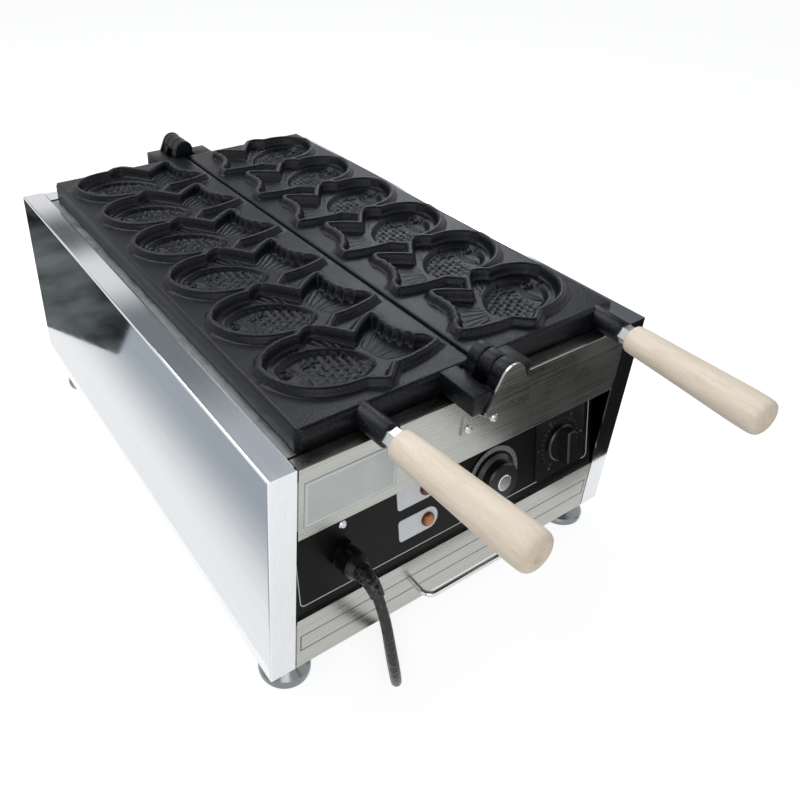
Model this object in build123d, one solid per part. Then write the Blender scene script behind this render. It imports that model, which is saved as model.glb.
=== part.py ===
from build123d import *
import os
from math import cos, pi, radians, sin, sqrt, tan

# Double-bed fish-waffle maker: a stainless housing on four chrome feet, with two cast mould plates
# that lie open side by side and swing onto each other about one hinge line.
# Drawn in millimetres. X is to the right, Y goes back from the front face and Z goes up from the
# bottom edge of the side panels. The last section moves everything to the shared origin.

# Driving dimensions ---------------------------------------------------------------------------
BODY_W = 450.0
BODY_D = 634.0
BODY_H = 250.0
FOOT_H = 28.0
SHEET = 1.5
SIDE_DEPTH = 27.0            # how far the boxed side panels reach in
FACE_X = 196.5               # half the width of the apron and of the front frame

PANEL_BOTTOM = 66.0          # sloped control panel
PANEL_TOP = 169.0
PANEL_SLOPE = 0.19           # run back per rise
APRON_TOP = 248.6
DRAWER_Z = (23.0, 42.0)

ROWS = 6
PITCH = 92.8                 # from fish to fish
PLATE_X = (2.0, 188.0)
PLATE_Y = (15.5, 605.5)
PLATE_Z = (248.0, 272.0)
RIM_TOP = 279.6
MID_Y = (PLATE_Y[0] + PLATE_Y[1]) / 2

HINGE_Z = 280.0
KNUCKLE_R = 12.7
PIN_R = 5.0
RUNNING = 0.05               # radial clearance of a running fit

HANDLE_Z = 261.0
HANDLE_X = {"left": -120.5, "right": 164.5}
TOE_IN = 3.5                 # degrees
GRIP_LENGTH = 140.0

CORD_D = 10.0
FOOT_X, FOOT_Y = 194.5, (25.0, 577.0)

NODES = {}
BASE = (Align.CENTER, Align.CENTER, Align.MIN)


# Small helpers --------------------------------------------------------------------------------
def block(x, y, z):
    """Box between three pairs of coordinates."""
    size = Box(x[1] - x[0], y[1] - y[0], z[1] - z[0])
    return Pos((x[0] + x[1]) / 2, (y[0] + y[1]) / 2, (z[0] + z[1]) / 2) * size


def bar_y(x, z, radius, y):
    """Round bar along Y between two stations."""
    return Pos(x, y[1], z) * Rot(90, 0, 0) * Cylinder(radius, y[1] - y[0], align=BASE)


def closed_face(start, *steps):
    """Face inside an outline. One point is a straight line to it, two are an arc through the first."""
    edges, here = [], start
    for step in steps:
        if len(step) == 1:
            edges.append(Line(here, step[0]))
        else:
            edges.append(ThreePointArc(here, *step))
        here = step[-1]
    return make_face(Curve() + edges)


def turned(*profile):
    """Solid of revolution about Z from (radius, height) points, closed along the axis."""
    points = [(0, profile[0][1]), *profile, (0, profile[-1][1])]
    face = Plane.XZ * make_face(Polyline(*points, close=True))
    return revolve(face, Axis.Z)


def other_side(shape):
    return mirror(shape, about=Plane.YZ)


# Housing --------------------------------------------------------------------------------------
HALF_W = BODY_W / 2
SIDE_IN = HALF_W - SIDE_DEPTH
LIP_Z = BODY_H - 14
BACK_Y = BODY_D - 2 * SHEET           # front of the back panel
TAB_X = (194.0, 214.0)                # joggled ends behind the side panels' flanges
SCREW_X = (-16.0, 16.0)               # screws of the hinge brackets
SCREW_Z = 211.5


def side_panel():
    """Boxed sheet, open to the inside, with a lip down from its top and a foot flange."""
    panel = block((SIDE_IN, HALF_W), (0, BODY_D), (0, BODY_H))
    panel = fillet(panel.faces().sort_by(Axis.X)[-1].edges(), 2)
    panel -= block((SIDE_IN - 1, HALF_W - SHEET), (SHEET, BODY_D - SHEET), (SHEET, BODY_H - SHEET))
    panel += block((SIDE_IN, SIDE_IN + SHEET), (SHEET, BACK_Y), (LIP_Z, BODY_H))
    panel += block((180, SIDE_IN), (SHEET, BACK_Y), (0, SHEET))
    for y in FOOT_Y:
        panel -= Pos(FOOT_X, y, 0) * Cylinder(5, 10)
    return panel


def base_pan():
    pan = block((SHEET - HALF_W, HALF_W - SHEET), (SHEET, BACK_Y), (SHEET, 2 * SHEET))
    for y in FOOT_Y:
        for x in (-FOOT_X, FOOT_X):
            pan -= Pos(x, y, 0) * Cylinder(5, 10)
    return pan


def back_panel():
    """Plain sheet between the side panels, folded forward at the top behind the plates."""
    sheet = block((SHEET - HALF_W, HALF_W - SHEET), (BACK_Y, BACK_Y + SHEET), (SHEET, BODY_H - SHEET))
    sheet += block((-FACE_X, FACE_X), (PLATE_Y[1] + 1.5, BACK_Y), (BODY_H - 3, BODY_H - SHEET))
    for x in SCREW_X:
        sheet -= bar_y(x, SCREW_Z, 2.5, (BACK_Y - 1, BODY_D))
    return sheet


def tabs(z):
    """Pair of joggled end tabs that lie behind the side panels' front flanges."""
    tab = block(TAB_X, (SHEET, 2 * SHEET), z)
    return tab + other_side(tab)


def front_apron():
    """Sheet folded back at its top and at its bottom."""
    top = APRON_TOP
    profile = block((-FACE_X, FACE_X), (0, 30), (PANEL_TOP, top))
    front = profile.edges().filter_by(Axis.X).group_by(Axis.Y)[0]
    apron = fillet(front, 1.2)
    apron -= block((-FACE_X, FACE_X), (SHEET, 31), (PANEL_TOP + SHEET, top - SHEET))
    apron -= block((-FACE_X, FACE_X), (14.5, 31), (top - 2 * SHEET, top + 1))
    apron += tabs((180, LIP_Z - 1))
    for x in SCREW_X:
        apron -= bar_y(x, SCREW_Z, 2.5, (-1, 3))
    return apron


def front_frame():
    """Lower front sheet with the slot for the drawer."""
    frame = block((-FACE_X, FACE_X), (0, 12), (0, PANEL_BOTTOM))
    frame -= block((-FACE_X, FACE_X), (SHEET, 13), (-1, PANEL_BOTTOM - SHEET))
    frame += tabs((5, 60))
    z = (DRAWER_Z[0] - 1, DRAWER_Z[1] + 1)
    frame -= block((-192.5, 192.5), (-1, 4), z)
    return frame


def panel_y(z):
    """Front of the control panel at a height."""
    return 3 + PANEL_SLOPE * (z - 67)


def on_panel(x, along):
    """Place on the panel's face: X to the right, Y up its slope and Z out of it."""
    rise = 1 / sqrt(1 + PANEL_SLOPE**2)
    z = 67 + along * rise
    return Plane((x, panel_y(z), z), x_dir=(1, 0, 0), z_dir=(0, -rise, PANEL_SLOPE * rise)).location


# Places of the controls: across the machine and up the panel's slope
THERMOSTAT_AT = (47, 46)
TIMER_AT = (145, 47)
GLAND_AT = (-141, 45)
LAMPS_AT = {"upper": (-41, 72), "lower": (-41, 36)}
SCREW_AT = (-138, 76)
SHAFT_R = 3.0


def control_panel():
    """Sloped sheet between the front frame and the apron, with stiffened ends."""
    thick = 2 * sqrt(1 + PANEL_SLOPE**2)

    def slab(depth, x):
        low, high = panel_y(PANEL_BOTTOM), panel_y(PANEL_TOP)
        outline = [(low, PANEL_BOTTOM), (high, PANEL_TOP)]
        outline += [(high + depth, PANEL_TOP), (low + depth, PANEL_BOTTOM)]
        face = Plane.YZ * make_face(Polyline(*outline, close=True))
        return Pos(x[0], 0, 0) * extrude(face, x[1] - x[0])

    panel = slab(thick, (-FACE_X, FACE_X))
    end = slab(7, (FACE_X - SHEET, FACE_X))
    panel += end + other_side(end)
    holes = [(THERMOSTAT_AT, 5), (TIMER_AT, 5), (GLAND_AT, 9), (SCREW_AT, 2)]
    holes += [(place, 6) for place in LAMPS_AT.values()]
    for place, radius in holes:
        panel -= on_panel(*place) * Cylinder(radius, 10)
    return panel


def foot():
    """Turned bell foot with its stud and the nut above the base pan."""
    bell = [(25, -FOOT_H), (26, -FOOT_H + 1), (26, -22), (24.5, -19.5), (14, -11), (12, -8), (12, 0), (5, 0)]
    stud_and_nut = [(5, 2 * SHEET), (9, 2 * SHEET), (9, 9), (5, 9), (5, 14)]
    return turned(*bell, *stud_and_nut)


NODES["side_panel_right"] = side_panel()
NODES["side_panel_left"] = other_side(NODES["side_panel_right"])
NODES["base_pan"] = base_pan()
NODES["back_panel"] = back_panel()
NODES["front_apron"] = front_apron()
NODES["front_frame"] = front_frame()
NODES["control_panel"] = control_panel()
for side, x in (("left", -FOOT_X), ("right", FOOT_X)):
    for end, y in zip(("front", "rear"), FOOT_Y):
        NODES[f"foot_{end}_{side}"] = Pos(x, y, 0) * foot()


# Heat well, elements and plate rests ----------------------------------------------------------
WELL_Y = (18.0, 604.0)
WELL_Z = (186.0, 245.6)
WELL_X = 196.0
WELL_WALL = 1.2
ELEMENT_R = 4.0
ELEMENT_Z = 222.0
ELEMENT_PASSES = (30, 75, 120, 165)
ELEMENT_Y = (48.0, 572.0)
SUPPORT_Y = {"front": 90.0, "rear": 530.0}


def heat_well():
    """Open sheet pan that holds the elements and keeps their heat under the plates."""
    pan = block((-WELL_X, WELL_X), WELL_Y, WELL_Z)
    inside = (WELL_Y[0] + WELL_WALL, WELL_Y[1] - WELL_WALL)
    pan -= block((WELL_WALL - WELL_X, WELL_X - WELL_WALL), inside, (WELL_Z[0] + WELL_WALL, 300))
    for x in (ELEMENT_PASSES[0], ELEMENT_PASSES[-1]):
        for way in (-1, 1):
            pan -= bar_y(way * x, ELEMENT_Z, ELEMENT_R, (WELL_Y[0] - 1, WELL_Y[0] + 3))
    return pan


def element():
    """Bent tubular element whose two cold ends come out through the well's front wall."""
    x = ELEMENT_PASSES
    near, far = ELEMENT_Y
    route = [(x[0], 6), (x[0], far), (x[1], far), (x[1], near)]
    route += [(x[2], near), (x[2], far), (x[3], far), (x[3], 6)]
    path = FilletPolyline(*[(a, b, ELEMENT_Z) for a, b in route], radius=20)
    return sweep(Plane((x[0], 6, ELEMENT_Z), z_dir=(0, 1, 0)) * Circle(ELEMENT_R), path=path)


def element_support(y):
    """Folded strip on the well's floor, notched under the element's passes."""
    strip = block((-190, 190), (y - 1, y + 1), (WELL_Z[0] + WELL_WALL, ELEMENT_Z))
    strip += block((-190, 190), (y - 1, y + 14), (WELL_Z[0] + WELL_WALL, WELL_Z[0] + WELL_WALL + 2))
    for x in ELEMENT_PASSES:
        for way in (-1, 1):
            strip -= bar_y(way * x, ELEMENT_Z, ELEMENT_R, (y - 2, y + 2))
    return strip


def plate_rest():
    """Angle bar on the well's wall, on which the plate's outer edge lies."""
    top = PLATE_Z[0] - 0.4
    rest = block((182, SIDE_IN), WELL_Y, (WELL_Z[1], top))
    return rest + block((WELL_X, SIDE_IN), WELL_Y, (226, top))


NODES["heat_well"] = heat_well()
NODES["element_right"] = element()
NODES["element_left"] = other_side(NODES["element_right"])
for end, y in SUPPORT_Y.items():
    NODES[f"element_support_{end}"] = element_support(y)
NODES["plate_rest_right"] = plate_rest()
NODES["plate_rest_left"] = other_side(NODES["plate_rest_right"])


# Mould plates ---------------------------------------------------------------------------------
# One fish at its fins' depth, drawn for the right-hand plate: X is the distance from the seam, Y
# from the front face for the first row. The head points away from the seam.
FISH = closed_face(
    (19.2, 54.2),
    ((45, 48.5), (72, 47.5)),
    ((87.8, 33.5),),
    ((103, 43),),
    ((130, 45.8), (150, 55.5)),
    ((165, 74), (169.5, 98)),
    ((163, 108),),
    ((143, 118.8), (118.5, 120)),
    ((109, 126.5), (101, 128)),
    ((90, 117), (73.5, 95)),
    ((55, 108.5), (40, 116)),
    ((39.5, 110), (43, 105)),
    ((40.5, 99.5), (43.3, 94)),
    ((39.8, 89), (42, 83.5)),
    ((36.8, 80), (37, 74)),
    ((31.3, 71.5), (30.5, 65.5)),
    ((22.5, 61.5), (19.2, 54.2)),
)
BODY = closed_face(
    (76, 60),
    ((108, 50), (144, 60)),
    ((157, 76), (160, 99)),
    ((156, 104),),
    ((132, 113), (108, 110)),
    ((88, 98), (76, 83)),
    ((72, 71), (76, 60)),
)
FIN_DEPTH = 12.0
BODY_DEPTH = 17.0
RIM_BAND = 6.0
RIM_DRAFT = 14.0             # degrees
CAVITY_DRAFT = 5.0
BODY_DRAFT = 42.0


def rim():
    """Raised border round one fish, drafted so that the casting leaves its mould."""
    height = RIM_TOP - PLATE_Z[1]
    foot_band = FIN_DEPTH * tan(radians(CAVITY_DRAFT)) + RIM_BAND + (height + 1) * tan(radians(RIM_DRAFT))
    outline = offset(FISH, foot_band, kind=Kind.ARC)
    return Pos(0, 0, PLATE_Z[1] - 1) * extrude(outline, height + 1, taper=RIM_DRAFT)


def ridge(start, end, width, height, floor):
    """Low rib that stands on a cavity's floor and leaves a line in the fish."""
    (x0, y0), (x1, y1) = start, end
    length = sqrt((x1 - x0) ** 2 + (y1 - y0) ** 2)
    turn = Rot(0, 0, Vector(x1 - x0, y1 - y0, 0).get_signed_angle(Vector(1, 0, 0), Vector(0, 0, -1)))
    return Pos((x0 + x1) / 2, (y0 + y1) / 2, floor) * turn * Box(length, width, height, align=BASE)


TAIL_RAYS = (((31, 58), (64, 64)), ((40, 69), (66, 70)), ((46, 82), (66, 77)), ((46, 101), (68, 86)))
FIN_RAYS = (((86, 39), (90, 50)), ((95, 43), (99, 52)), ((99, 121), (96, 108)), ((109, 120), (105, 109)))


def fish_cavity():
    """What is cut out of the plate for one fish: fins and tail, and the deeper body."""
    fin_floor = RIM_TOP - FIN_DEPTH
    body_floor = RIM_TOP - BODY_DEPTH
    cut = Pos(0, 0, fin_floor) * extrude(FISH, FIN_DEPTH, taper=-CAVITY_DRAFT)
    cut += Pos(0, 0, fin_floor) * extrude(BODY, -(BODY_DEPTH - FIN_DEPTH), taper=BODY_DRAFT)
    for start, end in TAIL_RAYS + FIN_RAYS:
        cut -= ridge(start, end, 2, 1.4, fin_floor)
    eye = Pos(150, 97, body_floor)
    cut -= eye * (Cylinder(5, 1.6, align=BASE) - Cylinder(3, 1.6, align=BASE))
    gill = Pos(158, 84, body_floor) * (Cylinder(24, 1.4, align=BASE) - Cylinder(22, 1.4, align=BASE))
    cut -= gill & block((130, 138), (66, 98), (body_floor, RIM_TOP))
    for x in (92, 104, 116):
        arc = Pos(x + 14, 84, body_floor) * (Cylinder(17, 1.2, align=BASE) - Cylinder(15.2, 1.2, align=BASE))
        cut -= arc & block((x - 5, x + 3), (66, 100), (body_floor, RIM_TOP))
    return cut


def bevelled_slab():
    """Plate blank with its outer corners cut and its outer top edges bevelled."""
    slab = block(PLATE_X, PLATE_Y, PLATE_Z)
    corners = slab.edges().filter_by(Axis.Z).group_by(Axis.X)[-1]
    slab = chamfer(corners, 5)
    outer = [edge for edge in slab.faces().sort_by(Axis.Z)[-1].edges() if edge.center().X > PLATE_X[0] + 1]
    slab = chamfer(outer, 2.5)
    wall = 8
    ceiling = 256.5
    pocket = block((PLATE_X[0] + wall, PLATE_X[1] - wall), (PLATE_Y[0] + wall, PLATE_Y[1] - wall),
                   (PLATE_Z[0] - 1, ceiling))
    return slab - fillet(pocket.edges().filter_by(Axis.Z), 6)


# Knuckle stations along the hinge line at the front; the rear hinge mirrors them
OUTER_KNUCKLE = (-26.5, -13.2)
MIDDLE_KNUCKLE = (-12.4, 1.7)
INNER_KNUCKLE = (2.5, 15.0)
EAR_BOTTOM = 251.5
EAR_X = {"left": (24.0, 40.0), "right": (20.0, 42.0)}


def knuckle(y, ear_x):
    """Bored barrel round the hinge line with the web that carries it from the ear."""
    shoulder = 269
    outline = [(0, HINGE_Z), (KNUCKLE_R, HINGE_Z), (15.5, shoulder), (ear_x, shoulder)]
    outline += [(ear_x, EAR_BOTTOM), (0, EAR_BOTTOM)]
    web = Pos(0, y[1], 0) * extrude(Plane.XZ * make_face(Polyline(*outline, close=True)), y[1] - y[0])
    return bar_y(0, HINGE_Z, KNUCKLE_R, y) + web - bar_y(0, HINGE_Z, PIN_R + RUNNING, (y[0] - 1, y[1] + 1))


def to_rear(shape):
    return mirror(shape, about=Plane.XZ.offset(-MID_Y))


def blank():
    """Plate casting for the right-hand side."""
    plate = bevelled_slab()
    one_rim = rim()
    plate = plate.fuse(*[Pos(0, row * PITCH, 0) * one_rim for row in range(ROWS)])
    one_fish = fish_cavity()
    return plate.cut(*[Pos(0, row * PITCH, 0) * one_fish for row in range(ROWS)])


def hinge_ears(side, *knuckles):
    """Ears of one plate, drawn on the right: at each end a lug against the plate and its knuckles."""
    x = EAR_X[side]
    lug = block(x, (knuckles[0][0], PLATE_Y[0] + 3), (EAR_BOTTOM, PLATE_Z[1])) - bevelled_slab()
    front = [lug, *[knuckle(y, x[0]) for y in knuckles]]
    return Compound(front + [to_rear(part) for part in front])


# Handles: the boss is cast on the plate, and the rod, nut and grip follow its axis
BOSS_R = 11.5
BOSS_FACE_Y = -17.0
NUT_LENGTH = 10.0
ROD_R = 5.0
GRIP_BORE = 5.5


def handle_axis(side):
    """Location on the boss's face, with Z along the handle towards its free end."""
    x = HANDLE_X[side]
    toe = radians(TOE_IN) * (1 if x < 0 else -1)
    origin = (x, BOSS_FACE_Y, HANDLE_Z)
    return Plane(origin, x_dir=(cos(toe), sin(toe), 0), z_dir=(sin(toe), -cos(toe), 0)).location


def boss(side):
    length = PLATE_Y[0] - BOSS_FACE_Y + 7
    return handle_axis(side) * Pos(0, 0, -length) * Cylinder(BOSS_R, length, align=BASE)


def grip():
    """Turned wooden grip, fuller towards its free end, bored for the rod."""
    end = NUT_LENGTH + GRIP_LENGTH
    start = NUT_LENGTH
    profile = Curve() + [
        Line((GRIP_BORE, start), (11, start)),
        ThreePointArc((11, start), (13.2, start + 0.9), (14.1, start + 3)),
        Spline((14.1, start + 3), (15.4, start + 45), (16.9, start + 92), (17.6, end - 18), (17.3, end - 8)),
        ThreePointArc((17.3, end - 8), (15.6, end - 2.6), (11, end)),
        Line((11, end), (GRIP_BORE, end)),
        Line((GRIP_BORE, end), (GRIP_BORE, start)),
    ]
    return revolve(Plane.XZ * make_face(profile), Axis.Z)


def nut():
    body = extrude(RegularPolygon(17 / sqrt(3), 6), NUT_LENGTH)
    return chamfer(body.edges().filter_by(GeomType.LINE).group_by(Axis.Z)[-1], 0.8) - Cylinder(ROD_R, 40)


casting = blank()
NODES["plate_left"] = other_side(casting) + boss("left")
NODES["plate_right"] = casting + boss("right")
NODES["hinge_ears_left"] = other_side(hinge_ears("left", OUTER_KNUCKLE, INNER_KNUCKLE))
NODES["hinge_ears_right"] = hinge_ears("right", MIDDLE_KNUCKLE)
for side in HANDLE_X:
    place = handle_axis(side)
    NODES[f"handle_rod_{side}"] = place * Cylinder(ROD_R, NUT_LENGTH + GRIP_LENGTH - 15, align=BASE)
    NODES[f"handle_nut_{side}"] = place * nut()
    NODES[f"grip_{side}"] = place * grip()


# Hinge brackets, pins and their screws --------------------------------------------------------
TAB_Y = (-29.0, -27.0)
TAB_R = 13.5


def hinge_bracket(face_y):
    """Bent strip: a leg on the housing, a sloping web and an upright tab at the hinge line."""
    near, far = TAB_Y
    strip = [(near, 300), (far, 300), (far, 247.6), (face_y, 237), (face_y, 205), (face_y - 2, 205),
             (face_y - 2, 235.8), (near, 246.4)]
    bent = Pos(-60, 0, 0) * extrude(Plane.YZ * make_face(Polyline(*strip, close=True)), 120)
    top = HINGE_Z + TAB_R
    side = TAB_R * 0.93
    shoulder = HINGE_Z + TAB_R * 0.37
    front = closed_face(
        (-22.5, 205),
        ((22.5, 205),),
        ((22.5, 238),),
        ((27, 252),),
        ((side, shoulder),),
        ((0, top), (-side, shoulder)),
        ((-27, 252),),
        ((-22.5, 238),),
        ((-22.5, 205),),
    )
    bracket = bent & (Pos(0, 10, 0) * extrude(Plane.XZ * front, 60))
    for x in SCREW_X:
        bracket -= bar_y(x, SCREW_Z, 2.5, (face_y - 4, face_y + 2))
    return bracket


def pan_screw(length):
    """Pan-head screw along Z, head upwards from the seat at zero."""
    head = turned((4.5, 0), (4.5, 1.2), (3.6, 2.4), (1.6, 2.9))
    return head + Pos(0, 0, -length) * Cylinder(2.5, length, align=BASE)


def screw_pair(face_y):
    head_out = Rot(90, 0, 0)
    return Compound([Pos(x, face_y, SCREW_Z) * head_out * pan_screw(6) for x in SCREW_X])


# The rear bracket stands on the back panel, nearer to its hinge than the front one
REAR_FACE = 2 * MID_Y - (BACK_Y + SHEET)
NODES["hinge_bracket_front"] = hinge_bracket(0)
NODES["hinge_bracket_rear"] = to_rear(hinge_bracket(REAR_FACE))
NODES["hinge_pin_front"] = bar_y(0, HINGE_Z, PIN_R, (TAB_Y[1], 14))
NODES["hinge_pin_rear"] = to_rear(NODES["hinge_pin_front"])
NODES["bracket_screws_front"] = screw_pair(-2)
NODES["bracket_screws_rear"] = to_rear(screw_pair(REAR_FACE - 2))


# Drip drawer ----------------------------------------------------------------------------------
DRAWER_X = 191.5
DRAWER_END = 560.0
BOW_X, BOW_Z, BOW_OUT, BOW_R = 58.0, 31.0, -22.0, 3.0


def drip_drawer():
    """Shallow tray with a flat front that closes the slot."""
    front = block((-DRAWER_X, DRAWER_X), (0, SHEET), DRAWER_Z)
    tray = block((-190, 190), (SHEET, DRAWER_END), (24, 40))
    tray -= block((-189, 189), (SHEET, DRAWER_END - 1), (25, 41))
    return front + tray


def drawer_handle():
    route = [(-BOW_X, 0, BOW_Z), (-BOW_X, BOW_OUT, BOW_Z), (BOW_X, BOW_OUT, BOW_Z), (BOW_X, 0, BOW_Z)]
    path = FilletPolyline(*route, radius=10)
    return sweep(Plane(route[0], z_dir=(0, -1, 0)) * Circle(BOW_R), path=path)


def runner():
    """Folded rail on the base pan under the drawer's edge."""
    rail = block((165, 182), (30, 600), (2 * SHEET, 23.6))
    return rail - block((164, 180.5), (29, 601), (3 * SHEET, 22.1))


NODES["drip_drawer"] = drip_drawer()
NODES["drawer_handle"] = drawer_handle()
NODES["drawer_runner_right"] = runner()
NODES["drawer_runner_left"] = other_side(runner())


# Controls -------------------------------------------------------------------------------------
DIAL_T = 1.2                 # thickness of the dial plates
KNOB_GAP = 0.4
PLATE_T = 0.8
BEHIND = -2.0                # the back of the panel's sheet


def thermostat_knob():
    """Skirted knob with a fluted rim."""
    low = DIAL_T + KNOB_GAP
    knob = turned((26, low), (26, low + 2), (22, low + 5), (20.5, 14), (19, 15.6), (9, 15.6))
    flutes = [Rot(0, 0, k * 24) * Pos(24.6, 0, low + 5) * Cylinder(3, 12, align=BASE) for k in range(15)]
    return knob.cut(*flutes) - Cylinder(SHAFT_R, 24)


def timer_knob():
    """Round base with a finger bar across it."""
    low = DIAL_T + KNOB_GAP
    base = turned((21, low), (21, low + 3), (19.5, low + 4.5), (5, low + 4.5))
    bar = Pos(0, 0, low) * Box(11, 38, 16, align=BASE)
    bar = chamfer(bar.edges().group_by(Axis.Z)[-1], 1.6)
    pointer = Pos(0, 15, low + 16) * Box(1.6, 6, 0.6, align=BASE)
    return base + bar + pointer - Cylinder(SHAFT_R, 24)


def shaft():
    return Pos(0, 0, -14) * Cylinder(SHAFT_R, 26, align=BASE)


def switch_body(width, height, depth):
    """Switch housing behind the panel with its threaded neck and blade terminals."""
    body = Pos(0, 0, BEHIND - depth) * Box(width, height, depth, align=BASE)
    body += Pos(0, 0, BEHIND) * Cylinder(5, DIAL_T - BEHIND, align=BASE)
    for x in (-width / 4, 0, width / 4):
        body += Pos(x, 0, BEHIND - depth - 8) * Box(6.3, 0.8, 8, align=BASE)
    return body - Pos(0, 0, -15) * Cylinder(SHAFT_R + RUNNING, 30, align=BASE)


def lamp(surface):
    """Pilot lamp: a domed lens in a round collar, with its body behind the panel."""
    collar = turned((8, surface), (8, surface + 1.6), (6.8, surface + 2.4), (6, surface + 2.4))
    dome = turned((5.8, surface + 2), (5.8, surface + 3.6), (4.4, surface + 5.2), (2, surface + 6))
    return collar + dome + Pos(0, 0, -24) * Cylinder(5.9, 24 + surface, align=BASE)


def label_plate(x, along):
    """Bare rounded plate on the control panel with a hole for its lamp."""
    size = (x[1] - x[0], along[1] - along[0])
    face = RectangleRounded(size[0], size[1], 11.5)
    place = on_panel((x[0] + x[1]) / 2, (along[0] + along[1]) / 2)
    return place * extrude(face, PLATE_T)


def gland():
    """Screwed cable gland: hexagon at the panel, body and domed cap."""
    hexagon = extrude(RegularPolygon(15, 6), 6)
    cap = turned((13, 6), (13, 22), (12, 25), (9.5, 30))
    body = hexagon + cap + Pos(0, 0, -12) * Cylinder(9, 12, align=BASE)
    locknut = Pos(0, 0, BEHIND - 5) * extrude(RegularPolygon(14, 6), 5)
    return body + locknut


THERMOSTAT = on_panel(*THERMOSTAT_AT)
TIMER = on_panel(*TIMER_AT)
NODES["thermostat_dial"] = THERMOSTAT * (Cylinder(34, DIAL_T, align=BASE) - Cylinder(5, 9))
NODES["thermostat_knob"] = THERMOSTAT * thermostat_knob()
NODES["thermostat_cap"] = THERMOSTAT * turned((8.8, 15.6), (8.8, 16.6), (7.8, 17.2))
NODES["thermostat_shaft"] = THERMOSTAT * shaft()
NODES["thermostat_body"] = THERMOSTAT * switch_body(44, 36, 30)
timer_plate = extrude(RectangleRounded(74, 74, 4), DIAL_T)
NODES["timer_dial"] = TIMER * (timer_plate - Cylinder(5, 9))
NODES["timer_knob"] = TIMER * timer_knob()
NODES["timer_shaft"] = TIMER * shaft()
NODES["timer_body"] = TIMER * switch_body(52, 52, 40)
PLATE_ALONG = {"upper": (60, 84), "lower": (24, 48)}
for level, place in LAMPS_AT.items():
    plate = label_plate((-76, -28), PLATE_ALONG[level])
    NODES[f"label_plate_{level}"] = plate - on_panel(*place) * Cylinder(5.9, 9)
    NODES[f"pilot_lamp_{level}"] = on_panel(*place) * lamp(PLATE_T)
NODES["panel_screw"] = on_panel(*SCREW_AT) * turned((2, -10), (2, 0), (4.3, 0), (4.3, 1), (2.6, 2.2))
NODES["rating_plate"] = block((-191, -95), (-0.5, 0), (182, 232))
NODES["cable_gland"] = on_panel(*GLAND_AT) * gland()
NODES["terminal_block"] = block((-155, -95), (70, 96), (3, 21)).cut(
    *[Pos(x, 83, 21) * Cylinder(4, 10) for x in (-145, -132, -118, -105)]
)


# Mains lead -----------------------------------------------------------------------------------
TABLE = -FOOT_H
CORD_R = CORD_D / 2
LYING = TABLE + CORD_R + 0.5          # the tie's strap lies under the coil
RELIEF_BEND = 25.0
RELIEF_TURN = 60.0


def relief_frame(turn):
    """Place on the relief's drooping axis after a part of its turn, Z towards its free end."""
    start = on_panel(*GLAND_AT) * Pos(0, 0, 30)
    return start * Pos(0, -RELIEF_BEND, 0) * Rot(turn, 0, 0) * Pos(0, RELIEF_BEND, 0)


def strain_relief():
    """Tapered rubber sleeve that droops under the lead."""
    rings = [relief_frame(k * RELIEF_TURN / 4) * Circle(8.6 - 0.5 * k) for k in range(5)]
    return loft(rings)


relief_end = relief_frame(RELIEF_TURN)
exit_point = relief_end.position
exit_way = Plane(relief_end).z_dir
COIL_X, COIL_Y = 60.0, 704.0
COIL_R = 60.0
LEAD = [
    tuple(exit_point),
    tuple(exit_point + exit_way * 16),
    (-142.5, -66, 68),
    (-140, -73, 39),
    (-132, -68, 11),
    (-117.5, -49, -11.5),
    (-100, -21, LYING),
    (-82, 10, LYING),
    (-64, 48, LYING),
    (-46, 108, LYING),
    (-24, 200, LYING),
    (-10, 315, LYING),
    (-7, 430, LYING),
    (-8, 530, LYING),
    (-4, 610, LYING),
    (0, 655, LYING),
    (COIL_X - COIL_R, COIL_Y - CORD_D, LYING),
]


def lead_path(points):
    """Runs joined by arcs as large as the shorter run allows; returns the path and its radii."""
    points = [Vector(*p) for p in points]
    radii = []
    for before, here, after in zip(points, points[1:], points[2:]):
        first, second = here - before, after - here
        half_turn = radians(first.get_angle(second)) / 2
        radii.append(0.45 * min(first.length, second.length) / tan(half_turn))
    return FilletPolyline(*points, radius=radii), radii


path, radii = lead_path(LEAD)
NODES["strain_relief"] = strain_relief()
NODES["mains_lead"] = sweep(Plane(LEAD[0], z_dir=exit_way) * Circle(CORD_R), path=path)
section = pi * CORD_R**2
print("lead radii", [round(r) for r in radii], "length", round(path.length))
print("lead volume over section times length", round(NODES["mains_lead"].volume / (path.length * section), 5))

# The rest of the lead is put away behind the machine: wound inwards on the table, up half a turn
# and outwards again on top
TURN_PITCH = 10.8
PLUG_LEAD = 40.0             # straight end that reaches the plug
ON_TOP = LYING + TURN_PITCH


def coil_path():
    step = TURN_PITCH / 2
    climb_r = COIL_R - 2 * step + 0.6
    stations = [-COIL_R, COIL_R, COIL_R - 2 * (COIL_R - step)]
    start, out, inner = [Vector(COIL_X + x, COIL_Y, LYING) for x in stations]
    top_in = inner + Vector(2 * climb_r, 0, TURN_PITCH)
    top_out = Vector(start.X, COIL_Y, ON_TOP)
    middle = (inner + top_in) / 2 + Vector(0, sqrt(climb_r**2 + step**2), 0)
    last = COIL_R + 0.6
    end = Vector(top_out.X + last, COIL_Y + last, ON_TOP)
    back, forth = Vector(0, 1, 0), Vector(0, -1, 0)
    return Wire([
        Line(start - back * CORD_D, start),
        TangentArc(start, out, tangent=back),
        TangentArc(out, inner, tangent=forth),
        TangentArc(inner, middle, tangent=back),
        TangentArc(middle, top_in, tangent=top_in - inner),
        TangentArc(top_in, top_out, tangent=forth),
        TangentArc(top_out, end, tangent=back),
        Line(end, end + Vector(PLUG_LEAD, 0, 0)),
    ])


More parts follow.
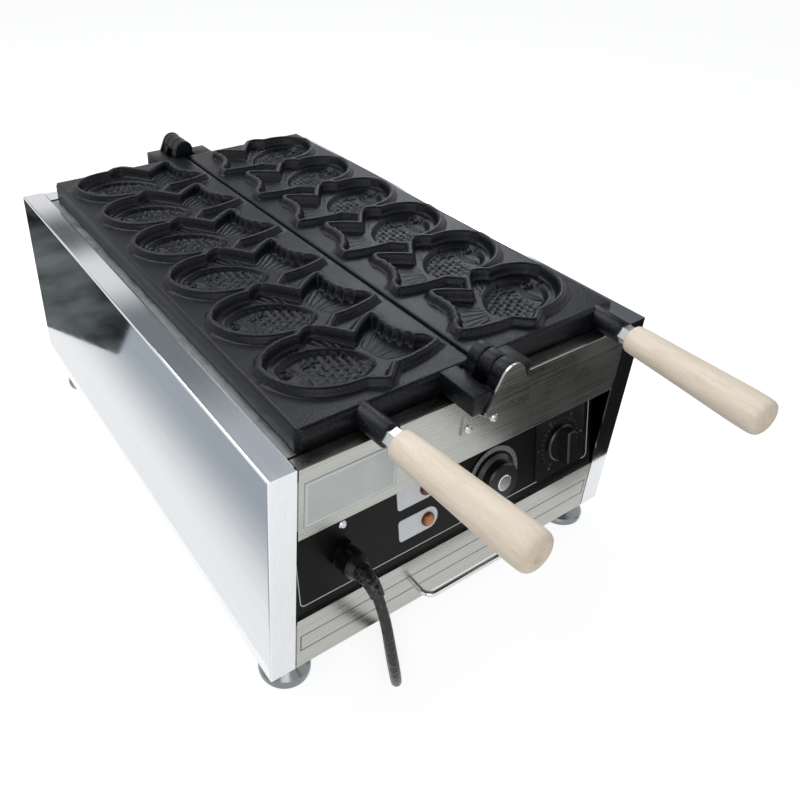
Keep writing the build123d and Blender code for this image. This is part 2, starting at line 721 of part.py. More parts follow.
def least_gap(wire):
    """Clear space between the wound tube and itself, measured on points along it."""
    count = round(wire.length / 2)
    points = [wire.position_at(k / count) for k in range(count + 1)]
    apart = round(pi * COIL_R / 2 / (wire.length / count))
    return min((a - b).length for k, a in enumerate(points) for b in points[k + apart:]) - CORD_D


def coil_tie():
    """Strap round the turns on the side away from the plug."""
    middle_z = (LYING + ON_TOP) / 2
    inner = (12.8, TURN_PITCH + CORD_D + 0.1)
    outer = (inner[0] + 0.9, inner[1] + 0.9)
    ring = RectangleRounded(*outer, 4) - RectangleRounded(*inner, 3.6)
    place = Plane((COIL_X - 7, COIL_Y - COIL_R + 5.8, middle_z), x_dir=(0, 1, 0), z_dir=(1, 0, 0))
    return place.location * extrude(ring, 14)


def mains_plug():
    """Moulded round plug with two flats, so that it lies on the table, and two pins."""
    half = ON_TOP - TABLE
    body = turned((7, 0), (8, 14), (11, 20), (12.5, 32), (15, 42), (18.5, 47), (18.5, 62))
    body &= Pos(0, 0, 31) * Box(60, 2 * half, 62)
    for x in (-9.5, 9.5):
        pin = Pos(x, 0, 62) * Cylinder(2.4, 19, align=BASE)
        body += chamfer(pin.edges().sort_by(Axis.Z)[-1], 1)
    return body


wound = coil_path()
print("coil length", round(wound.length), "least gap to itself", round(least_gap(wound), 2))
NODES["lead_coil"] = sweep(Plane(wound @ 0, z_dir=(0, 1, 0)) * Circle(CORD_R), path=wound)
print("coil volume over section times length", round(NODES["lead_coil"].volume / (wound.length * section), 5))
NODES["coil_tie"] = coil_tie()
NODES["mains_plug"] = Plane(wound @ 1, x_dir=(0, 1, 0), z_dir=(1, 0, 0)).location * mains_plug()

# Move to the shared origin, on the table under the middle of the machine, and write the files -----
CORD_NODES = ("mains_lead", "lead_coil", "coil_tie", "mains_plug")
machine_parts = [shape for name, shape in NODES.items() if name not in CORD_NODES]
machine = Compound([solid for shape in machine_parts for solid in shape.solids()])
extent = machine.bounding_box()
origin_y = (extent.min.Y + extent.max.Y) / 2
print("origin at y", round(origin_y, 3), "size", extent.size)
os.makedirs("parts", exist_ok=True)
for name, shape in NODES.items():
    solids = (Pos(0, -origin_y, FOOT_H) * Compound(shape.solids())).solids()
    export_step(solids[0] if len(solids) == 1 else Compound(solids), f"parts/{name}.step")
print(len(NODES), "nodes")
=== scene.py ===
from math import cos, pi, radians, sin, sqrt

import bmesh
import bpy
import numpy as np
from mathutils import Matrix, Vector


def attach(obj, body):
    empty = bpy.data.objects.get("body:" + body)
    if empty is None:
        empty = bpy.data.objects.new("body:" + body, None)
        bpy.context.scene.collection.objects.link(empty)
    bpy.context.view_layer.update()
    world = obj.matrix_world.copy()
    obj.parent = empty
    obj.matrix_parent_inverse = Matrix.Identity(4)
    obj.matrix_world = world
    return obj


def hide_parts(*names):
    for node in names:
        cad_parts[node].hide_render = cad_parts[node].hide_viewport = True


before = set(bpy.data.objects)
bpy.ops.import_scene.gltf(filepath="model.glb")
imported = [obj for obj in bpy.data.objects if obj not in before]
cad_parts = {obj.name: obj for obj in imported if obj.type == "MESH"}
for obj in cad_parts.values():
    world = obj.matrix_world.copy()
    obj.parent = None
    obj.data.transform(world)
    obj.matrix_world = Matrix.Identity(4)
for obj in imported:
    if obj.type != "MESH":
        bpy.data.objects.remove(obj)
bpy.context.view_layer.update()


# Camera ---------------------------------------------------------------------------------------
# The photographer stood at the front left corner and held the camera well above the plates, so the
# machine runs away to the right. The lens is a little wide, and its axis lies left of the middle of
# the frame and above it.
def at(x, y, z):
    """Millimetres from the lower front edge of the side panels to the shared frame's metres."""
    return Vector((x, y - 241.304, z + 28)) / 1000


heading, dip, tilt = radians(33.06157), radians(31.80028), radians(0.61534)
right = Vector((cos(heading), -sin(heading), 0))
ahead = Vector((sin(heading) * cos(dip), cos(heading) * cos(dip), -sin(dip)))
up = right.cross(ahead)
across_frame = cos(tilt) * right + sin(tilt) * up
up_frame = cos(tilt) * up - sin(tilt) * right
aim = Matrix((across_frame, up_frame, -ahead)).transposed()
standpoint = at(-448.5, -385.6, 678.6)
camera = bpy.data.objects.new("camera", bpy.data.cameras.new("camera"))
camera.matrix_world = Matrix.Translation(standpoint) @ aim.to_4x4()
camera.data.sensor_width = 36
camera.data.lens = 35.817
camera.data.shift_x = 0.12557
camera.data.shift_y = -0.10870
camera.data.clip_start = 0.01
bpy.context.scene.collection.objects.link(camera)
bpy.context.scene.camera = camera
bpy.context.scene.view_settings.view_transform = "Standard"


# Floor and studio light -----------------------------------------------------------------------
# A plain white table top without an edge, and a white room round it. What the camera and the
# polished metal see is white, while the light that falls on the machine stays at a plain level.
def srgb(code):
    """Linear colour of an sRGB hex value."""
    parts = [int(code[k:k + 2], 16) / 255 for k in (1, 3, 5)]
    return [c / 12.92 if c <= 0.04045 else ((c + 0.055) / 1.055) ** 2.4 for c in parts] + [1.0]


def add(tree, kind, links=None, **settings):
    """One shader node with its settings; links gives a value or another node's output to each input."""
    node = tree.nodes.new("ShaderNode" + kind)
    for name, value in settings.items():
        setattr(node, name, value)
    for socket, value in (links or {}).items():
        if isinstance(value, bpy.types.NodeSocket):
            tree.links.new(value, node.inputs[socket])
        else:
            node.inputs[socket].default_value = value
    return node


def seen(tree):
    """1 on the rays that see the background itself: from the camera, off gloss and through glass."""
    path = add(tree, "LightPath")
    gloss = add(tree, "Math", {0: path.outputs["Is Glossy Ray"], 1: path.outputs["Is Transmission Ray"]},
                operation="MAXIMUM")
    either = add(tree, "Math", {0: gloss.outputs[0], 1: path.outputs["Is Camera Ray"]}, operation="MAXIMUM")
    return either.outputs[0]


white = srgb("#ffffff")
table = bpy.data.materials.new("white_table_top")
table.use_nodes = True
tree = table.node_tree
tree.nodes.clear()
bounce = add(tree, "BsdfDiffuse", {"Color": srgb("#e4e4e2")})
shaded = add(tree, "BsdfDiffuse", {"Color": srgb("#b8b8b8")})
glow = add(tree, "Emission", {"Color": white, "Strength": 0.8})
both = add(tree, "AddShader", {0: shaded.outputs[0], 1: glow.outputs[0]})
mixed = add(tree, "MixShader", {0: seen(tree), 1: bounce.outputs[0], 2: both.outputs[0]})
add(tree, "OutputMaterial", {"Surface": mixed.outputs[0]})

plane = bmesh.new()
bmesh.ops.create_grid(plane, x_segments=1, y_segments=1, size=6)
floor_mesh = bpy.data.meshes.new("table_top")
plane.to_mesh(floor_mesh)
plane.free()
floor_mesh.materials.append(table)
floor = bpy.data.objects.new("table_top", floor_mesh)
bpy.context.scene.collection.objects.link(floor)

world = bpy.data.worlds.new("white_room")
bpy.context.scene.world = world
world.use_nodes = True
tree = world.node_tree
tree.nodes.clear()
fill = add(tree, "Background", {"Color": srgb("#eef2f6"), "Strength": 0.36})
backdrop = add(tree, "Background", {"Color": white, "Strength": 1.0})
mixed = add(tree, "MixShader", {0: seen(tree), 1: fill.outputs[0], 2: backdrop.outputs[0]})
add(tree, "OutputWorld", {"Surface": mixed.outputs[0]})


def lamp(name, place, towards, size, watts):
    """Square soft box."""
    data = bpy.data.lights.new(name, "AREA")
    data.shape = "SQUARE"
    data.size = size
    data.energy = watts
    made = bpy.data.objects.new(name, data)
    made.location = place
    made.rotation_euler = (Vector(towards) - Vector(place)).to_track_quat("-Z", "Y").to_euler()
    bpy.context.scene.collection.objects.link(made)


lamp("overhead_box", (-0.35, 0.75, 1.7), (0, 0, 0.25), 1.1, 17)
lamp("front_box", (-0.9, -1.5, 1.2), (0, 0, 0.2), 1.0, 7)


def card(name, corners, material):
    """Flat card of the studio that only the gloss on the machine sees."""
    sheet = bmesh.new()
    sheet.faces.new([sheet.verts.new(corner) for corner in corners])
    mesh = bpy.data.meshes.new(name)
    sheet.to_mesh(mesh)
    sheet.free()
    mesh.materials.append(material)
    made = bpy.data.objects.new(name, mesh)
    made.visible_camera = False
    made.visible_diffuse = False
    made.visible_transmission = False
    made.visible_shadow = False
    bpy.context.scene.collection.objects.link(made)


def card_paint(name):
    """Material of a card, its tree, its emission shader and the place on the card."""
    made = bpy.data.materials.new(name)
    made.use_nodes = True
    made.node_tree.nodes.clear()
    shine = add(made.node_tree, "Emission")
    add(made.node_tree, "OutputMaterial", {"Surface": shine.outputs[0]})
    return made, made.node_tree, shine, add(made.node_tree, "TexCoord").outputs["Object"]


# Dark cards on the floor: an even one in front on the right, and a patchy one behind on the left
dark_card, tree, shine, place = card_paint("dark_studio_card")
patches = add(tree, "TexNoise", {"Vector": place, "Scale": 5.0, "Detail": 4.0, "Roughness": 0.6})
spread = add(tree, "MapRange", {"Value": patches.outputs["Fac"], "From Min": 0.38, "From Max": 0.66})
patchy = add(tree, "Mix", {"Factor": spread.outputs[0], "A": srgb("#17191a"), "B": srgb("#6e7474")},
             data_type="RGBA")
tree.links.new(patchy.outputs["Result"], shine.inputs["Color"])
near_black, tree, shine, place = card_paint("near_black_card")
shine.inputs["Color"].default_value = srgb("#1a1a1a")
on_floor = 0.0015
card("card_front_right", [(0.215, -0.75, on_floor), (1.25, -0.75, on_floor), (1.25, -0.3, on_floor),
                          (0.215, -0.3, on_floor)], near_black)
card("card_behind_left", [(-0.318, 0.37, on_floor), (0, 1.024, on_floor), (-0.5, 1.759, on_floor),
                          (-0.9, 1.189, on_floor)], dark_card)
# A grey card lies beside the machine on the left, under the patchy one, seen only in the gloss. Its grey is
# painted shade of the floor further from the machine, and it pales to white towards the machine
floor_shade_card, tree, shine, place = card_paint("grey_floor_shade_card")
beside = add(tree, "SeparateXYZ", {"Vector": place}).outputs["X"]
paling = add(tree, "MapRange", {"Value": beside, "From Min": -0.345, "From Max": -0.262},
             interpolation_type="SMOOTHSTEP")
faded = add(tree, "Mix", {"Factor": paling.outputs[0], "A": srgb("#aab2ba"), "B": white}, data_type="RGBA")
tree.links.new(faded.outputs["Result"], shine.inputs["Color"])
under = 0.001
card("card_beside_left", [(-0.24, -0.3, under), (-0.24, 0.9, under), (-0.75, 0.9, under),
                          (-0.75, -0.3, under)], floor_shade_card)
# The far wall has light and dark bands, one above the other, for the level sheet and the coat
wall_card, tree, shine, place = card_paint("banded_wall_card")
wall_y, wall_foot, wall_top, wall_corner = 2.6, 1.0, 3.5, 1.9
height = add(tree, "SeparateXYZ", {"Vector": place}).outputs["Z"]
level = add(tree, "MapRange", {"Value": height, "From Min": wall_foot, "From Max": wall_top})
bands = add(tree, "ValToRGB", {"Fac": level.outputs[0]})
heights = [(1.0, "#ffffff"), (1.27, "#f4f4f4"), (1.36, "#5c6164"), (1.48, "#6a6f72"), (1.58, "#f4f6f6"),
           (1.74, "#eef0f0"), (1.92, "#7c8285"), (2.4, "#7f8588"), (2.9, "#b6bcc2")]
for z, code in heights[2:]:
    bands.color_ramp.elements.new((z - wall_foot) / (wall_top - wall_foot))
for mark, (z, code) in zip(bands.color_ramp.elements, heights):
    mark.position = (z - wall_foot) / (wall_top - wall_foot)
    mark.color = srgb(code)
tree.links.new(bands.outputs["Color"], shine.inputs["Color"])
card("card_far_wall", [(-0.8, wall_y, wall_foot), (wall_corner, wall_y, wall_foot),
                       (wall_corner, wall_y, wall_top), (-0.8, wall_y, wall_top)], wall_card)
# Right of that the wall is dim, with one soft bright window for the coat in the middle of the plates
dim_wall, tree, shine, place = card_paint("dim_wall_card")
centred = add(tree, "Mapping", {"Vector": place, "Location": (-2.35, 0, -2.15), "Scale": (0.9, 0.01, 0.8)})
round_spot = add(tree, "TexGradient", {"Vector": centred.outputs[0]}, gradient_type="SPHERICAL")
window = add(tree, "MapRange", {"Value": round_spot.outputs["Fac"], "From Max": 0.7, "To Min": 0.16,
                                "To Max": 11.0}, interpolation_type="SMOOTHSTEP")
tree.links.new(window.outputs[0], shine.inputs["Strength"])
shine.inputs["Color"].default_value = srgb("#eef3fb")
card("card_dim_wall", [(wall_corner, wall_y, wall_foot), (7.5, wall_y, wall_foot), (7.5, wall_y, 4.2),
                       (wall_corner, wall_y, 4.2)], dim_wall)
# A dark ceiling over the machine, for whatever leans towards the camera
ceiling_card, tree, shine, place = card_paint("dark_ceiling_card")
shine.inputs["Color"].default_value = srgb("#33363a")
ceiling = 2.6
card("card_ceiling", [(-2.5, -2.5, ceiling), (2.5, -2.5, ceiling), (2.5, 1.2, ceiling),
                      (-2.5, 1.2, ceiling)], ceiling_card)


# Mains lead -----------------------------------------------------------------------------------
# Round rubber-sheathed lead, 10 mm thick. It droops out of the gland, hangs down the front and runs
# back under the machine; the rest is wound up behind it, tied, and ends in its plug.
def piece(bm, name, finish, body, smooth=30):
    """Makes an object of a mesh drawn in millimetres, in its place, riding on its body."""
    bmesh.ops.transform(bm, matrix=Matrix.Translation(at(0, 0, 0)) @ Matrix.Scale(0.001, 4), verts=bm.verts)
    bmesh.ops.recalc_face_normals(bm, faces=bm.faces)
    mesh = bpy.data.meshes.new(name)
    bm.to_mesh(mesh)
    bm.free()
    mesh.materials.append(finish)
    mesh.shade_smooth()
    mesh.set_sharp_from_angle(angle=radians(smooth))
    made = bpy.data.objects.new(name, mesh)
    bpy.context.scene.collection.objects.link(made)
    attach(made, body)
    return made


def surface(name, colour, roughness, metallic=0.0, **more):
    """Material with one principled shader, its tree, that shader and the object's coordinates."""
    made = bpy.data.materials.new(name)
    made.use_nodes = True
    shader = made.node_tree.nodes["Principled BSDF"]
    values = {"Base Color": srgb(colour), "Roughness": roughness, "Metallic": metallic}
    values.update({key.replace("_", " "): value for key, value in more.items()})
    for key, value in values.items():
        shader.inputs[key].default_value = value
    return made, made.node_tree, shader, add(made.node_tree, "TexCoord").outputs["Object"]


# Chloroprene rubber sheath: nearly black, with a fine ribbed skin that breaks its shine into glints
rubber, tree, shader, place = surface("chloroprene_rubber", "#0f1011", 0.36)
ribs = add(tree, "TexVoronoi", {"Vector": place, "Scale": 260.0}, feature="SMOOTH_F1")
grime = add(tree, "TexNoise", {"Vector": place, "Scale": 40.0, "Detail": 3.0})
rough = add(tree, "MapRange", {"Value": grime.outputs["Fac"], "To Min": 0.22, "To Max": 0.45})
tree.links.new(rough.outputs[0], shader.inputs["Roughness"])
bump = add(tree, "Bump", {"Height": ribs.outputs["Distance"], "Strength": 0.9, "Distance": 0.0014})
tree.links.new(bump.outputs[0], shader.inputs["Normal"])

lying = -22.5
lead_route = [
    (-141, -41.676, 108.570), (-141, -52.122, 96.450), (-142.5, -66, 68), (-140, -73, 39), (-132, -68, 11),
    (-117.5, -49, -11.5), (-100, -21, lying), (-82, 10, lying), (-64, 48, lying), (-46, 108, lying),
    (-24, 200, lying), (-10, 315, lying), (-7, 430, lying), (-8, 530, lying), (-4, 610, lying),
    (0, 655, lying),
]
coil_x, coil_y, coil_r, turn_pitch = 60, 704, 60, 10.8
on_top = lying + turn_pitch
lead_route.append((coil_x - coil_r, coil_y - 4, lying))
coil_turns, steps_per_turn = 2.25, 16
swing = 2 * pi / steps_per_turn
# The first turn winds inwards on the floor, the next half climbs, and the rest winds outwards on top
for step in range(1, int(coil_turns * steps_per_turn) + 1):
    turn = step / steps_per_turn
    if turn <= 1:
        radius = coil_r - turn_pitch * turn
        height = lying
    elif turn < 1.5:
        radius = coil_r - turn_pitch
        height = lying + turn_pitch * (turn - 1) * 2
    else:
        radius = coil_r - turn_pitch + turn_pitch * (turn - 1.5) * 2
        height = on_top
    radius = min(radius, coil_r) / cos(swing / 2)
    angle = pi - swing * (step - 0.5)
    lead_route.append((coil_x + radius * cos(angle), coil_y + radius * sin(angle), height))
lead_route += [(62, 764.6, on_top), (100.6, 764.6, on_top)]

line = bpy.data.curves.new("mains_lead", "CURVE")
line.dimensions = "3D"
line.bevel_depth = 0.005
line.bevel_resolution = 6
line.resolution_u = 10
line.use_fill_caps = True
spline = line.splines.new("NURBS")
spline.points.add(len(lead_route) - 1)
for point, mark in zip(spline.points, lead_route):
    point.co = (*at(*mark), 1)
spline.order_u = 3
spline.use_endpoint_u = True
line.materials.append(rubber)
lead = bpy.data.objects.new("rubber_lead", line)
bpy.context.scene.collection.objects.link(lead)
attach(lead, "housing")
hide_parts("mains_lead", "lead_coil")


# Housing --------------------------------------------------------------------------------------
# Folded 1.5 mm stainless sheet: two boxed side panels with a bright mirror skin, and a front made of
# apron and lower frame with a brushed skin. It stands on four turned feet with a thin nickel plate.
def finish(material, *names):
    """Gives CAD nodes their material."""
    for name in names:
        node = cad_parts[name]
        if not node.material_slots:
            node.data.materials.append(material)
        for holder in node.material_slots:
            holder.material = material


def brushed(name, colour, low, high, across, depth, dulled):
    """Stainless steel with a drawn grain. across gives the lines per metre along each axis; the real
    grain is 0.05 to 0.1 mm wide, and is drawn coarser than that so that it shows. dulled is the share
    of its brightness that the steel keeps in a line of the grain."""
    made, tree, shader, place = surface(name, colour, low, 1.0)
    stretch = add(tree, "Mapping", {"Vector": place, "Scale": across})
    grain = add(tree, "TexNoise", {"Vector": stretch.outputs[0], "Scale": 1.0, "Detail": 4.0,
                                   "Roughness": 0.7})
    smear = add(tree, "TexNoise", {"Vector": place, "Scale": 9.0, "Detail": 3.0, "Roughness": 0.6})
    worn = add(tree, "Math", {0: grain.outputs["Fac"], 1: smear.outputs["Fac"]}, operation="ADD")
    rough = add(tree, "MapRange", {"Value": worn.outputs[0], "From Min": 0.7, "From Max": 1.3,
                                   "To Min": low, "To Max": high})
    tree.links.new(rough.outputs[0], shader.inputs["Roughness"])
    dull = [dulled * c for c in srgb(colour)[:3]] + [1.0]
    tint = add(tree, "MapRange", {"Value": grain.outputs["Fac"], "From Min": 0.35, "From Max": 0.65})
    shade = add(tree, "Mix", {"Factor": tint.outputs[0], "A": dull, "B": srgb(colour)}, data_type="RGBA")
    tree.links.new(shade.outputs["Result"], shader.inputs["Base Color"])
    bump = add(tree, "Bump", {"Height": grain.outputs["Fac"], "Strength": depth, "Distance": 0.0002})
    tree.links.new(bump.outputs[0], shader.inputs["Normal"])
    return made


# Brushed 304 sheet, satin: grain runs across the machine and spreads the reflections upwards
brushed_steel = brushed("brushed_stainless_304", "#b9bab4", 0.2, 0.36, (4, 900, 900), 0.25, 0.8)
finish(brushed_steel, "front_apron", "front_frame", "drip_drawer", "hinge_bracket_front",
       "hinge_bracket_rear")
# Mirror-polished 304 sheet: sharp, slightly wavy reflections with a few long wiping marks
mirror_steel = brushed("polished_stainless_304", "#e3e5e7", 0.04, 0.1, (400, 3, 50), 0.03, 0.95)
finish(mirror_steel, "side_panel_left", "side_panel_right", "back_panel")
# Galvanised mill sheet of the inner parts: dull grey, with a spangle of crystals about 9 mm across
zinc_sheet, tree, shader, place = surface("galvanised_mill_sheet", "#8f9496", 0.42, 1.0)
spangle = add(tree, "TexVoronoi", {"Vector": place, "Scale": 110.0})
mottle = add(tree, "MapRange", {"Value": spangle.outputs["Color"], "To Min": 0.34, "To Max": 0.52})
tree.links.new(mottle.outputs[0], shader.inputs["Roughness"])
finish(zinc_sheet, "base_pan", "heat_well", "plate_rest_left", "plate_rest_right", "element_support_front",
       "element_support_rear", "drawer_runner_left", "drawer_runner_right")
# Bright chromium plate on turned steel: a clean mirror with hardly any wear
chrome, tree, shader, place = surface("bright_chromium_plate", "#d8dadb", 0.06, 1.0)
wipe = add(tree, "TexNoise", {"Vector": place, "Scale": 120.0, "Detail": 2.0})
rough = add(tree, "MapRange", {"Value": wipe.outputs["Fac"], "To Min": 0.03, "To Max": 0.14})
tree.links.new(rough.outputs[0], shader.inputs["Roughness"])
finish(chrome, "drawer_handle")
# Turned mild steel feet under a thin nickel plate: greyer than the handle, with rings from the tool
nickel, tree, shader, place = surface("nickel_plated_turned_steel", "#83878a", 0.18, 1.0)
tooling = add(tree, "Mapping", {"Vector": place, "Scale": (30, 30, 900)})
rings = add(tree, "TexNoise", {"Vector": tooling.outputs[0], "Scale": 1.0})
rough = add(tree, "MapRange", {"Value": rings.outputs["Fac"], "To Min": 0.1, "To Max": 0.34})
tree.links.new(rough.outputs[0], shader.inputs["Roughness"])
finish(nickel, "foot_front_left", "foot_rear_left", "foot_front_right", "foot_rear_right")
# Blue zinc plate on screws, nuts and rods: satin silver, cloudy
zinc_plate, tree, shader, place = surface("zinc_plated_steel", "#c3c6ca", 0.25, 1.0)
cloud = add(tree, "TexNoise", {"Vector": place, "Scale": 300.0, "Detail": 3.0})
rough = add(tree, "MapRange", {"Value": cloud.outputs["Fac"], "To Min": 0.15, "To Max": 0.42})
tree.links.new(rough.outputs[0], shader.inputs["Roughness"])
finish(zinc_plate, "handle_rod_left", "handle_rod_right", "handle_nut_left", "handle_nut_right",
       "hinge_pin_front", "hinge_pin_rear", "bracket_screws_front", "bracket_screws_rear", "panel_screw",
       "thermostat_shaft", "timer_shaft")
# Oxidised heating element: nickel alloy tube gone dark grey-brown, powdery
sheath, tree, shader, place = surface("oxidised_element_sheath", "#3a3531", 0.62, 0.7)
scale_marks = add(tree, "TexNoise", {"Vector": place, "Scale": 90.0, "Detail": 5.0})
shade = add(tree, "Mix", {"Factor": scale_marks.outputs["Fac"], "A": srgb("#2a2624"), "B": srgb("#4c443d")},
            data_type="RGBA")
tree.links.new(shade.outputs["Result"], shader.inputs["Base Color"])
finish(sheath, "element_left", "element_right")


# Mould plates ---------------------------------------------------------------------------------
# Cast aluminium, about 590 by 186 mm each, with six fish sunk in raised rims and a fired non-stick
# coat. The casting is soft at every edge, and the fish carry scales, gills, eyes and ribbed fins.
def arcs(start, *steps):
    """Outline points: one point in a step is a straight line to it, two are a curve through the first."""
    outline, here = [], np.array(start, float)
    for step in steps:
        end = np.array(step[-1], float)
        if len(step) == 1:
            outline += [here]
        else:
            middle = np.array(step[0], float)
            bulge = 2 * middle - (here + end) / 2
            for t in np.linspace(0, 1, 9)[:-1]:
                outline.append((1 - t) ** 2 * here + 2 * t * (1 - t) * bulge + t * t * end)
        here = end
    return np.array(outline)


fish_outline = arcs(
    (19.2, 54.2), ((45, 48.5), (72, 47.5)), ((87.8, 33.5),), ((103, 43),), ((130, 45.8), (150, 55.5)),
    ((165, 74), (169.5, 98)), ((163, 108),), ((143, 118.8), (118.5, 120)), ((109, 126.5), (101, 128)),
    ((90, 117), (73.5, 95)), ((55, 108.5), (40, 116)), ((39.5, 110), (43, 105)), ((40.5, 99.5), (43.3, 94)),
    ((39.8, 89), (42, 83.5)), ((36.8, 80), (37, 74)), ((31.3, 71.5), (30.5, 65.5)),
    ((22.5, 61.5), (19.2, 54.2)))
body_outline = arcs(
    (76, 60), ((108, 50), (144, 60)), ((157, 76), (160, 99)), ((156, 104),), ((132, 113), (108, 110)),
    ((88, 98), (76, 83)), ((72, 71), (76, 60)))


def edge_distance(points, outline):
    """Distance of each point from an outline, negative inside, and the direction away from the edge."""
    ends = np.roll(outline, -1, axis=0)
    best = np.full(len(points), 1e9)
    away = np.zeros_like(points)
    inside = np.zeros(len(points), bool)
    for a, b in zip(outline, ends):
        run = b - a
        share = np.clip(((points - a) @ run) / (run @ run), 0, 1)
        gap = points - a - share[:, None] * run
        length = np.hypot(gap[:, 0], gap[:, 1])
        nearer = length < best
        best[nearer], away[nearer] = length[nearer], gap[nearer]
        crosses = (a[1] > points[:, 1]) != (b[1] > points[:, 1])
        with np.errstate(divide="ignore", invalid="ignore"):
            left_of = points[:, 0] < a[0] + (points[:, 1] - a[1]) * run[0] / run[1]
        inside ^= crosses & left_of
    sign = np.where(inside, -1.0, 1.0)
    return best * sign, away * (sign / np.maximum(best, 1e-6))[:, None]


def ease(value):
    """0 below 0, 1 above 1 and smooth between."""
    value = np.clip(value, 0, 1)
    return value * value * (3 - 2 * value)


def crest(distance, width):
    """Rounded ridge of height 1 along the line where distance is 0."""
    return np.exp(-(distance / width) ** 2)


def line_gap(u, v, a, b):
    """Distance from the line between two points."""
    run = np.array(b, float) - a
    share = np.clip(((u - a[0]) * run[0] + (v - a[1]) * run[1]) / (run @ run), 0, 1)
    return np.hypot(u - a[0] - share * run[0], v - a[1] - share * run[1])


fish_rows, pitch, first_fish, fish_reach = 6, 92.8, 80, 72
plate_top, rim_height, fin_depth, body_depth = 272.0, 7.6, 12.0, 17.0
plate_in, plate_out, plate_front, plate_rear = 2, 188, 15.5, 605.5
middle_y = (plate_front + plate_rear) / 2
edge_round, inner_round, corner_cut = 2.5, 0.7, 5
scale_run, scale_step = 7.6, 7.4
tail_rays = [((24, 57), (62, 63)), ((33, 64), (64, 66)), ((39, 72), (66, 70)), ((44, 81), (67, 74)),
             ((46, 90), (68, 79)), ((46, 101), (69, 84)), ((46, 110), (70, 89))]
fin_rays = [((84, 39), (87, 50)), ((89, 38), (93, 50)), ((95, 42), (99, 51)), ((108, 47), (111, 53)),
            ((118, 48), (121, 54)), ((128, 50), (130, 56)), ((104, 124), (99, 111)), ((111, 122), (106, 112)),
            ((94, 117), (92, 106)), ((88, 110), (87, 100)), ((118, 117), (114, 111)),
            ((128, 116), (124, 111))]


def relief(u, v, body_gap):
    """Height of the fish's drawing on the cavity's floor: scales, gill, eye, mouth and fin rays."""
    column = np.round((u - 76) / scale_run)
    shifted = (v - 82) / scale_step - 0.5 * (column % 2)
    du = u - 76 - column * scale_run
    dv = (shifted - np.round(shifted)) * scale_step
    scale_edge = crest(np.hypot(du + 2.4, dv) - 4.1, 1.0) * (du > -2.4)
    field = ease((u - 70) / 4) * ease((131 - u) / 4) * ease((-body_gap - 1.5) / 3)
    uneven = 0.8 + 0.35 * np.sin(12.9 * column + 78.2 * np.round(shifted))
    height = 1.5 * uneven * scale_edge * field
    outer_gill = crest(np.hypot(u - 160, v - 83) - 25, 1.2) * ease((145 - u) / 4)
    inner_gill = crest(np.hypot(u - 163, v - 84) - 23, 1.0) * ease((146 - u) / 3)
    gill = outer_gill * ease((v - 62) / 6) * ease((104 - v) / 6)
    gill += 0.7 * inner_gill * ease((v - 68) / 5) * ease((99 - v) / 5)
    eye = np.hypot(u - 150, v - 96)
    height = np.maximum(height, 1.7 * gill * (body_gap < -2))
    height = np.maximum(height, 1.8 * crest(eye - 5.0, 1.1))
    height = np.maximum(height, 1.6 * ease((2.6 - eye) / 1.6))
    mouth = line_gap(u, v, (155, 86), (164, 88))
    height = np.maximum(height, 1.4 * crest(mouth, 1.1))
    pectoral = np.minimum(line_gap(u, v, (131, 96), (117, 99)), line_gap(u, v, (131, 97), (119, 104)))
    height = np.maximum(height, 1.5 * crest(pectoral, 1.1))
    for a, b in tail_rays + fin_rays:
        height = np.maximum(height, 0.6 * crest(line_gap(u, v, a, b), 1.1) * (body_gap > 0.5))
    return height


# The mesh's cell, and the wall's height at distances out from the fish's outline
cell = 1.05
wall = ([-3, -2.1, -1.05, 0, 1.05, 2.1, 3.1, 5.2, 6.3, 7.35, 8.4, 9.45, 11],
        [0, 0.2, 1.1, 4.6, 9.4, 11.3, 11.9, 12.0, 11.5, 10.4, 8.2, 5.6, 4.4])


def verts_of(geom):
    """The vertices among what an operator returns."""
    return [part for part in geom if isinstance(part, bmesh.types.BMVert)]


